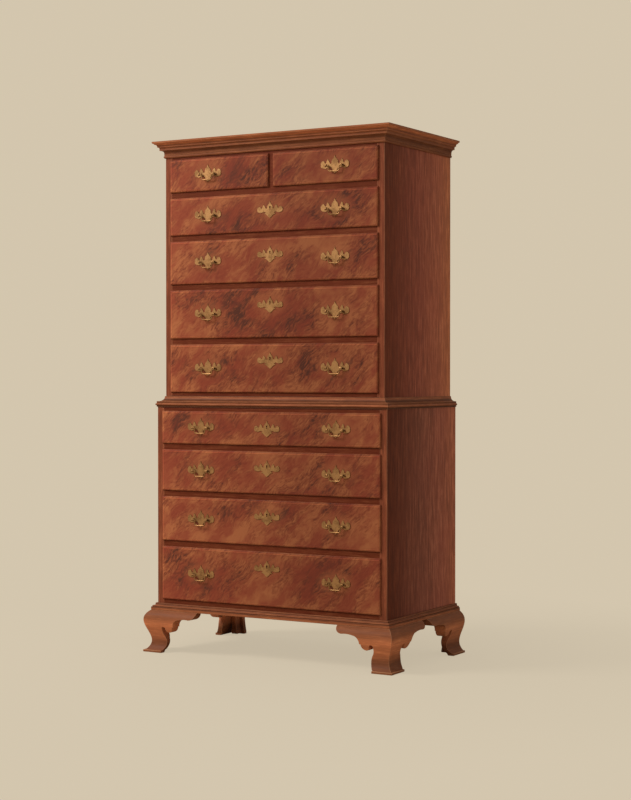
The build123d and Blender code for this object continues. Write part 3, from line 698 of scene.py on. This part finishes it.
def plain_walnut(name, rotation, stain, painted_light_bands=None, offset=(0, 0, 0), corner=None, threads=0.05):
    """Straight-grained walnut with a (colour, share) stain, and a mitre if it has a corner.

    Painted light bands are an axis, its two ends and the (place, tone) stops of painted light and
    shade between them.
    """
    wood = settings().walnut
    material, tree, shader, where = new_material(name)
    along = turned(tree, -1, 0, where, rotation, offset)
    if corner is not None:
        along = round_a_mitre(tree, where, along, offset, corner)
    sizes = {"Fibre": wood.plain_fibre, "Wave": WALNUT_WAVE}
    grain = place_group(tree, shared("Straight grain", grain_group), 4, 0, sizes)
    join(tree, (along, grain.inputs["Vector"]))
    parts = grain.outputs
    shares = (*PLAIN_SHARES, ("Threads", threads), ("Fibres", THREADS_AND_FIBRES - threads))
    tone = sum_of(tree, 5, 0, [(parts[layer], weight) for layer, weight in shares])
    dark, mid, light = tuple(wood.plain_dark), tuple(wood.plain_middle), tuple(wood.plain_light)
    ground = ramp(tree, 7, 0, tone, zip(PLAIN_STOPS, (dark, mid, light)))
    patches = noise(tree, 5, 5, along, PLAIN_PATCHES, 3)
    cloud = between(tree, 6, 5, patches.outputs["Fac"], *PATCH_STRENGTH)
    clouded = blend(tree, 9, 0, cloud, ground, tuple(wood.figure_red))
    pored = blend(tree, 10, 0, parts["Pores"], clouded, dark)
    lit = blend(tree, 11, 0, stain[1], pored, tuple(stain[0]))
    if painted_light_bands:
        axis, low, high, stops = painted_light_bands
        # painted light and shade along one axis of the piece
        lit = toned(tree, 12, 4, lit, placed(tree, 10, 4, where, axis, low, high), stops)
    finished = worn_and_highlit_edges(tree, 14, 2, lit)
    waxed(tree, shader, finished, parts["Fibres"], PLAIN_RELIEF, parts["Fibres"])
    return material


def pine(name, rotation, fibre=0.003, front=None):
    """Unpolished pine, browned with age, and faced with walnut as far back as front."""
    wood = settings().walnut
    material, tree, shader, where = new_material(name)
    along = turned(tree, -1, 0, where, rotation)
    sizes = {"Fibre": fibre, "Wave": PINE_WAVE}
    grain = place_group(tree, shared("Straight grain", grain_group), 4, 0, sizes)
    join(tree, (along, grain.inputs["Vector"]))
    parts = grain.outputs
    tone = sum_of(tree, 5, 0, [(parts["Bands"], 0.7), (parts["Fibres"], 0.3)])
    ground = ramp(tree, 7, 0, tone, zip(PINE_STOPS, (tuple(wood.pine_dark), tuple(wood.pine))))
    stains = noise(tree, 5, 5, along, PINE_STAINS, 4, 0.65)
    soiled = between(tree, 6, 5, stains.outputs["Fac"], *STAIN_STRENGTH)
    finished = blend(tree, 9, 0, soiled, ground, tuple(wood.pine_dark))
    if front is not None:
        behind = placed(tree, 9, 5, where, "Y", front - FACING_BLUR, front + FACING_BLUR)
        # the walnut facing takes the frames' stain and painted shade
        finished = blend(tree, 11, 0, behind, tuple(wood.stain_and_shade), finished)
    waxed(tree, shader, finished, parts["Fibres"], PINE_RELIEF, parts["Fibres"])
    shader.inputs["Coat Weight"].default_value = 0
    shader.inputs["Specular IOR Level"].default_value = PINE_GLOSS
    return material


def aged_brass():
    """Tarnished brass, bright on its eased edges and dark where a copy is marked for dirt and
    painted shade.
    """
    brass = settings().brass
    material, tree, shader, where = new_material("aged brass")
    spots = noise(tree, 1, 0, where, BRASS_SPOTS, 4, 0.6)
    cloudy = noise(tree, 1, 2, where, BRASS_CLOUDS, 3, 0.5)
    tone = sum_of(tree, 2, 0, [(spots.outputs["Fac"], 0.4), (cloudy.outputs["Fac"], 0.6)])
    brown = between(tree, 4, 0, tone, *TARNISH_RANGE, 0, brass.tarnish_share)
    edge = add(tree, "ShaderNodeAttribute", 4, 2, attribute_name="eased")
    kept = add(tree, "ShaderNodeMath", 5, 2, operation="SUBTRACT", use_clamp=True)
    join(tree, (brown, kept.inputs[0]), (edge.outputs["Fac"], kept.inputs[1]))
    clean = blend(tree, 7, 0, kept.outputs[0], tuple(brass.bright), tuple(brass.tarnish))
    # dark old polish and painted outline shade
    dirt_and_shade_mask = add(tree, "ShaderNodeAttribute", 7, 4, attribute_name="dirt_and_shade_mask")
    colour = blend(tree, 8, 0, dirt_and_shade_mask.outputs["Fac"], clean, tuple(brass.dirt_and_shade))
    glossy, dull = brass.roughness - BRASS_GLOSSIER, brass.roughness + BRASS_DULLER
    rough = between(tree, 7, 2, tone, 0.35, 0.65, glossy, dull)
    bump = relief_of(tree, 9, BRASS_RELIEF)
    join(
        tree,
        (spots.outputs["Fac"], bump.inputs["Height"]),
        (bump.outputs["Normal"], shader.inputs["Normal"]),
        (colour, shader.inputs["Base Color"]),
        (rough, shader.inputs["Roughness"]),
    )
    shader.inputs["Metallic"].default_value = 1
    return material


def dress(node, material):
    """Gives a CAD node that stays its material."""
    for slot in frame["nodes"][node].material_slots:
        slot.material = material


def eased_copy(node, material, width, mitred=False, dirt_and_shade=False):
    """A copy of a CAD node with its sharp edges eased, which stands for the node.

    Mitred runs lose the faces where they meet, so that they join. With dirt and shade, the eased
    edges and the faces that don't look to the front or the back are marked with old polish and
    painted shade.
    """
    shape = bmesh.new()
    shape.from_mesh(frame["nodes"][node].data)
    shape.faces.layers.float.new("eased")
    shape.faces.layers.float.new("dirt_and_shade_mask")
    eased, dirt_and_shade_mask = (shape.faces.layers.float[name] for name in ("eased", "dirt_and_shade_mask"))
    if mitred:
        upright = [face for face in shape.faces if abs(face.normal.z) < MITRE_SLACK]
        cut = [f for f in upright if abs(abs(f.normal.x) - abs(f.normal.y)) < MITRE_SLACK]
        bmesh.ops.delete(shape, geom=cut, context="FACES")
    bmesh.ops.remove_doubles(shape, verts=shape.verts, dist=WELD)
    bmesh.ops.dissolve_limit(shape, angle_limit=FLAT, verts=shape.verts, edges=shape.edges)
    convex = [edge for edge in shape.edges if edge.is_manifold and edge.is_convex]
    sharp = [edge for edge in convex if edge.calc_face_angle() > SHARP]
    made = bmesh.ops.bevel(
        shape,
        geom=sharp,
        offset=width,
        offset_type="OFFSET",
        segments=EASING_STEPS,
        profile=0.5,
        affect="EDGES",
        clamp_overlap=True,
        material=-1,
    )
    for face in made["faces"]:
        face[eased] = 1
    # old polish and painted outline shade on the eased edges and side walls
    if dirt_and_shade:
        for face in shape.faces:
            face[dirt_and_shade_mask] = 1 if face[eased] or abs(face.normal.y) < SIDEWAYS else 0
    for edge in shape.edges:
        sides = [face[eased] for face in edge.link_faces]
        alike = len(sides) == 2 and sides[0] == sides[1]
        edge.smooth = alike and edge.calc_face_angle() < SHARP
    for face in shape.faces:
        face.smooth = True
    name = f"{node}_eased"
    mesh = bpy.data.meshes.new(name)
    shape.to_mesh(mesh)
    shape.free()
    if "custom_normal" in mesh.attributes:
        mesh.attributes.remove(mesh.attributes["custom_normal"])
    mesh.materials.append(material)
    piece = bpy.data.objects.new(name, mesh)
    bpy.context.scene.collection.objects.link(piece)
    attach(piece, BODY_OF[node])
    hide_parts(node)


# Painted light and shade along a piece, as (place, tone) from its low end to its high one; a tone
# is a number or a colour. A side begins with its front edge, which shows beside the drawers in a
# tint of its own.
FRONT_EDGE = (0.42, 0.35, 0.37)
# Painted light across the fronts: lighter at the chest's left, on the lamp's side, darker to its
# right
FRONT_PAINTED_SHADING = [(0.0, 0.62), (0.12, 0.57), (0.4, 0.5), (0.65, 0.43), (0.85, 0.44), (1.0, 0.5)]
# Painted shade on the sides near their front, and a painted sheen that lightens them towards the
# back
SIDE_PAINTED_SHADING = {
    "upper": [
        (0.0, FRONT_EDGE), (0.006, FRONT_EDGE), (0.012, (0.27, 0.18, 0.15)),
        (0.15, (0.34, 0.24, 0.25)), (0.5, (0.57, 0.46, 0.6)), (0.8, (0.8, 0.73, 0.88)), (1.0, 1.0),
    ],
    "lower": [
        (0.0, FRONT_EDGE), (0.006, FRONT_EDGE), (0.012, (0.22, 0.14, 0.12)),
        (0.15, (0.27, 0.2, 0.22)), (0.5, (0.47, 0.44, 0.6)), (0.8, (0.66, 0.6, 0.8)),
        (1.0, (0.85, 0.8, 0.95)),
    ],
}
# Painted shadows under the mouldings' projections and painted highlights on their beads, fillets
# and top edges
CORNICE_PAINTED_SHADING = [
    (0.0, 0.44), (0.1, 0.43), (0.26, 0.44), (0.33, 0.36), (0.39, 0.33), (0.43, 0.38), (0.48, 0.5),
    (0.52, 0.58), (0.57, 0.47), (0.61, 0.45), (0.66, 0.72), (0.69, 0.66), (0.73, 0.42),
    (0.77, 0.6), (0.81, 1.0), (0.88, 1.0), (0.92, 0.75), (0.96, 0.62), (1.0, 0.5),
]
WAIST_PAINTED_SHADING = [
    (0.0, 0.15), (0.07, 0.13), (0.12, 0.3), (0.17, 0.52), (0.25, 0.59), (0.3, 0.63), (0.34, 0.56),
    (0.4, 0.33), (0.45, 0.28), (0.5, 0.42), (0.56, 0.41), (0.62, 0.24), (0.68, 0.22),
    (0.74, 0.36), (0.81, 0.53), (0.87, 0.67), (0.93, 0.59), (1.0, 0.38),
]
BASE_PAINTED_SHADING = [
    (0.0, 0.55), (0.25, 0.63), (0.36, 0.37), (0.46, 0.29), (0.58, 0.5), (0.68, 0.45), (0.78, 0.3),
    (0.9, 0.46), (1.0, 0.33),
]
# Painted light on the feet: a lit band across the bulge, painted shade at the ankle and along the
# top
FOOT_PAINTED_SHADING = [
    (0.0, 0.41), (0.05, 0.39), (0.08, 0.33), (0.2, 0.28), (0.26, 0.36), (0.33, 0.58),
    (0.39, 0.72), (0.46, 0.86), (0.52, 0.82), (0.59, 0.9), (0.65, 1.0), (0.72, 0.9), (0.78, 0.6),
    (0.85, 0.44), (0.92, 0.4), (1.0, 0.38),
]


class ChestOperator:
    """What all the chest's operators share."""

    bl_options = {"REGISTER", "UNDO"}

    def execute(self, context):
        self.make(context.scene.chest)
        return {"FINISHED"}


class CHEST_OT_case_boards(ChestOperator, bpy.types.Operator):
    """Sides, top and bottom boards and the drawer frames of both cases"""

    bl_idname = "chest.case_boards"
    bl_label = "Case boards"

    def make(self, chest):
        wood = chest.walnut
        stain = (wood.stain_and_shade, RAIL_STAIN_AND_SHADE)
        across = plain_walnut("rail walnut", ACROSS, stain, offset=(0.3, 0.2, 0.7))
        stain = (wood.plain_light, BOARD_STAIN)
        for case in CASES:
            low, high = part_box(f"{case}_sides")
            # painted shade near the side's front, painted sheen towards its back
            painted_light_bands = ("Y", low[1], high[1], SIDE_PAINTED_SHADING[case])
            upright = plain_walnut(
                f"{case} side walnut", UPRIGHT, stain, painted_light_bands, threads=SIDE_THREADS
            )
            inside = pine(f"{case} inside pine", ACROSS, front=low[1] + FACING_DEPTH)
            eased_copy(f"{case}_sides", upright, chest.easing.board)
            eased_copy(f"{case}_top_and_bottom", inside, chest.easing.board)
            dress(f"{case}_drawer_frames", across)


class CHEST_OT_backboards(ChestOperator, bpy.types.Operator):
    """The pine backboards of both cases"""

    bl_idname = "chest.backboards"
    bl_label = "Backboards"

    def make(self, chest):
        boards = pine("back pine", ACROSS, 0.004)
        for case in CASES:
            eased_copy(f"{case}_backboards", boards, chest.easing.board)


class CHEST_OT_mouldings(ChestOperator, bpy.types.Operator):
    """The cornice, the waist moulding and the base moulding"""

    bl_idname = "chest.mouldings"
    bl_label = "Mouldings"

    def make(self, chest):
        for node, case, offset, tones in (
            ("cornice_moulding", "upper", (0.1, 0.4, 0.2), CORNICE_PAINTED_SHADING),
            ("waist_moulding", "lower", (0.7, 0.1, 0.5), WAIST_PAINTED_SHADING),
            ("base_moulding", "lower", (0.2, 0.8, 0.9), BASE_PAINTED_SHADING),
        ):
            low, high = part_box(f"{case}_sides")
            foot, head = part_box(node)
            # painted shadow and highlight bands up the moulding
            painted_light_bands = ("Z", foot[2], head[2], tones)
            stain = (chest.walnut.plain_light, BOARD_STAIN)
            corner = high[0] + low[1]
            wood = plain_walnut(f"{node} walnut", ACROSS, stain, painted_light_bands, offset, corner)
            eased_copy(node, wood, chest.easing.moulding, mitred=True)


class CHEST_OT_bracket_feet(ChestOperator, bpy.types.Operator):
    """The four ogee bracket feet"""

    bl_idname = "chest.bracket_feet"
    bl_label = "Bracket feet"

    def make(self, chest):
        low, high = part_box("lower_sides")
        foot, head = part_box("bracket_feet")
        # painted light and shade up the feet
        painted_light_bands = ("Z", foot[2], head[2], FOOT_PAINTED_SHADING)
        stain = (chest.walnut.plain_light, FOOT_STAIN)
        corner = high[0] + low[1]
        wood = plain_walnut("foot walnut", ACROSS, stain, painted_light_bands, (0.5, 0.5, 0.1), corner)
        eased_copy("bracket_feet", wood, chest.easing.moulding, mitred=True)


class CHEST_OT_drawer_fronts(ChestOperator, bpy.types.Operator):
    """The ten lipped fronts of figured walnut"""

    bl_idname = "chest.drawer_fronts"
    bl_label = "Drawer fronts"

    def make(self, chest):
        for number in DRAWERS:
            eased_copy(f"drawer_{number}_front", figured_walnut(number), chest.easing.front)


class CHEST_OT_drawer_boxes(ChestOperator, bpy.types.Operator):
    """The pine sides, backs and bottoms of the drawers"""

    bl_idname = "chest.drawer_boxes"
    bl_label = "Drawer boxes"

    def make(self, chest):
        wood = pine("drawer pine", BACKWARDS)
        for number in DRAWERS:
            dress(f"drawer_{number}_box", wood)


class CHEST_OT_brasses(ChestOperator, bpy.types.Operator):
    """Backplates, escutcheons, posts, nuts and locks"""

    bl_idname = "chest.brasses"
    bl_label = "Brasses"

    def make(self, chest):
        metal = aged_brass()
        for number in DRAWERS:
            eased_copy(f"drawer_{number}_brasses", metal, chest.easing.plate, dirt_and_shade=True)


class CHEST_OT_bails(ChestOperator, bpy.types.Operator):
    """The eighteen swinging bails"""

    bl_idname = "chest.bails"
    bl_label = "Bails"

    def make(self, chest):
        metal = bpy.data.materials.get("aged brass") or aged_brass()
        for node in sorted(n for n in frame["nodes"] if n.endswith("bail")):
            eased_copy(node, metal, chest.easing.bail)


class CHEST_OT_stage(ChestOperator, bpy.types.Operator):
    """The pale floor, the soft light and the camera"""

    bl_idname = "chest.stage"
    bl_label = "Stage"

    def make(self, chest):
        stage = chest.stage
        self.make_floor(stage)
        self.make_world(stage)
        self.make_lamp(stage)
        self.make_camera(stage)

    def make_floor(self, stage):
        """A floor that takes the chest's shadow and fades into the backdrop far from it."""
        shape = bmesh.new()
        bmesh.ops.create_circle(shape, cap_ends=True, segments=96, radius=FLOOR_RADIUS)
        mesh = bpy.data.meshes.new("floor")
        shape.to_mesh(mesh)
        shape.free()
        floor = bpy.data.objects.new("floor", mesh)
        bpy.context.scene.collection.objects.link(floor)
        material = bpy.data.materials.new("floor paper")
        material.use_nodes = True
        tree = material.node_tree
        tree.nodes.clear()
        where = add(tree, "ShaderNodeTexCoord", 0, 0)
        far = add(tree, "ShaderNodeVectorMath", 1, 0, operation="LENGTH")
        outside = between(tree, 2, 0, far.outputs["Value"], *FLOOR_FADE, PAPER_SHARE, 1)
        path = add(tree, "ShaderNodeLightPath", 2, 2)
        seen = add(tree, "ShaderNodeMath", 3, 0, operation="MULTIPLY")
        matt = add(tree, "ShaderNodeBsdfDiffuse", 3, 2, {"Color": (*stage.floor, 1)})
        plain = add(tree, "ShaderNodeEmission", 3, 4, {"Color": (*stage.paper, 1), "Strength": 1})
        mixed = add(tree, "ShaderNodeMixShader", 5, 0)
        output = add(tree, "ShaderNodeOutputMaterial", 6, 0)
        join(
            tree,
            (where.outputs["Object"], far.inputs[0]),
            (outside, seen.inputs[0]),
            (path.outputs["Is Camera Ray"], seen.inputs[1]),
            (seen.outputs[0], mixed.inputs["Fac"]),
            (matt.outputs[0], mixed.inputs[1]),
            (plain.outputs[0], mixed.inputs[2]),
            (mixed.outputs[0], output.inputs["Surface"]),
        )
        mesh.materials.append(material)

    def make_world(self, stage):
        """Even light from all round; the camera and reflections see a plain backdrop instead."""
        world = bpy.data.worlds.new("studio")
        bpy.context.scene.world = world
        world.use_nodes = True
        tree = world.node_tree
        tree.nodes.clear()
        path = add(tree, "ShaderNodeLightPath", 0, 0)
        glossy = add(tree, "ShaderNodeMath", 1, 0, operation="MAXIMUM")
        clear = add(tree, "ShaderNodeMath", 2, 0, operation="MAXIMUM")
        white, paper = (1, 1, 1, 1), (*stage.paper, 1)
        light = add(tree, "ShaderNodeBackground", 2, 2, {"Color": white, "Strength": stage.fill})
        backdrop = add(tree, "ShaderNodeBackground", 2, 4, {"Color": paper, "Strength": 1})
        mixed = add(tree, "ShaderNodeMixShader", 4, 0)
        output = add(tree, "ShaderNodeOutputWorld", 5, 0)
        join(
            tree,
            (path.outputs["Is Camera Ray"], glossy.inputs[0]),
            (path.outputs["Is Glossy Ray"], glossy.inputs[1]),
            (glossy.outputs[0], clear.inputs[0]),
            (path.outputs["Is Transmission Ray"], clear.inputs[1]),
            (clear.outputs[0], mixed.inputs["Fac"]),
            (light.outputs[0], mixed.inputs[1]),
            (backdrop.outputs[0], mixed.inputs[2]),
            (mixed.outputs[0], output.inputs["Surface"]),
        )

    def make_lamp(self, stage):
        """A soft square lamp at the upper left, which shines at the chest's middle."""
        lamp = bpy.data.lights.new("key", "AREA")
        lamp.shape = "SQUARE"
        lamp.size = KEY_SIZE
        lamp.energy = stage.key
        item = bpy.data.objects.new("key", lamp)
        item.location = KEY_PLACE
        look = Vector(KEY_AIM) - Vector(KEY_PLACE)
        item.rotation_euler = look.to_track_quat("-Z", "Y").to_euler()
        bpy.context.scene.collection.objects.link(item)

    def make_camera(self, stage):
        """The camera at the picture's angle, nearly level."""
        lens = bpy.data.cameras.new("camera")
        lens.lens = stage.lens
        lens.sensor_width = SENSOR_WIDTH
        lens.clip_end = FAR_CLIP
        item = bpy.data.objects.new("camera", lens)
        item.location = (stage.camera_x, stage.camera_y, stage.camera_z)
        look = Vector((
            -math.sin(stage.turn) * math.cos(stage.pitch),
            math.cos(stage.turn) * math.cos(stage.pitch),
            math.sin(stage.pitch),
        ))
        item.rotation_euler = look.to_track_quat("-Z", "Y").to_euler()
        bpy.context.scene.collection.objects.link(item)
        bpy.context.scene.camera = item
        bpy.context.scene.view_settings.view_transform = "Standard"


STEPS = (
    CHEST_OT_stage,
    CHEST_OT_case_boards,
    CHEST_OT_backboards,
    CHEST_OT_mouldings,
    CHEST_OT_bracket_feet,
    CHEST_OT_drawer_fronts,
    CHEST_OT_drawer_boxes,
    CHEST_OT_brasses,
    CHEST_OT_bails,
)


class CHEST_PT_panel(bpy.types.Panel):
    """The chest's settings and its steps"""

    bl_label = "Chest-on-chest"
    bl_idname = "CHEST_PT_panel"
    bl_space_type = "VIEW_3D"
    bl_region_type = "UI"
    bl_category = "Chest"

    def draw(self, context):
        chest = context.scene.chest
        for title, group in (
            ("Walnut", chest.walnut),
            ("Brass", chest.brass),
            ("Eased edges", chest.easing),
            ("Stage", chest.stage),
        ):
            box = self.layout.box()
            box.label(text=title)
            for name in group.bl_rna.properties.keys():
                if name not in ("rna_type", "name"):
                    box.prop(group, name)
        for step in STEPS:
            self.layout.operator(step.bl_idname)


CLASSES = (
    WalnutSettings,
    BrassSettings,
    EasingSettings,
    StageSettings,
    ChestSettings,
    *STEPS,
    CHEST_PT_panel,
)


def register():
    """Registers the classes and the scene's settings."""
    for item in CLASSES:
        bpy.utils.register_class(item)
    bpy.types.Scene.chest = PointerProperty(type=ChestSettings)


def unregister():
    """Takes the classes and the scene's settings away."""
    del bpy.types.Scene.chest
    for item in reversed(CLASSES):
        bpy.utils.unregister_class(item)


def main():
    """Dresses the whole chest."""
    register()
    for step in STEPS:
        family, name = step.bl_idname.split(".")
        getattr(getattr(bpy.ops, family), name)()


if __name__ == "__main__":
    main()
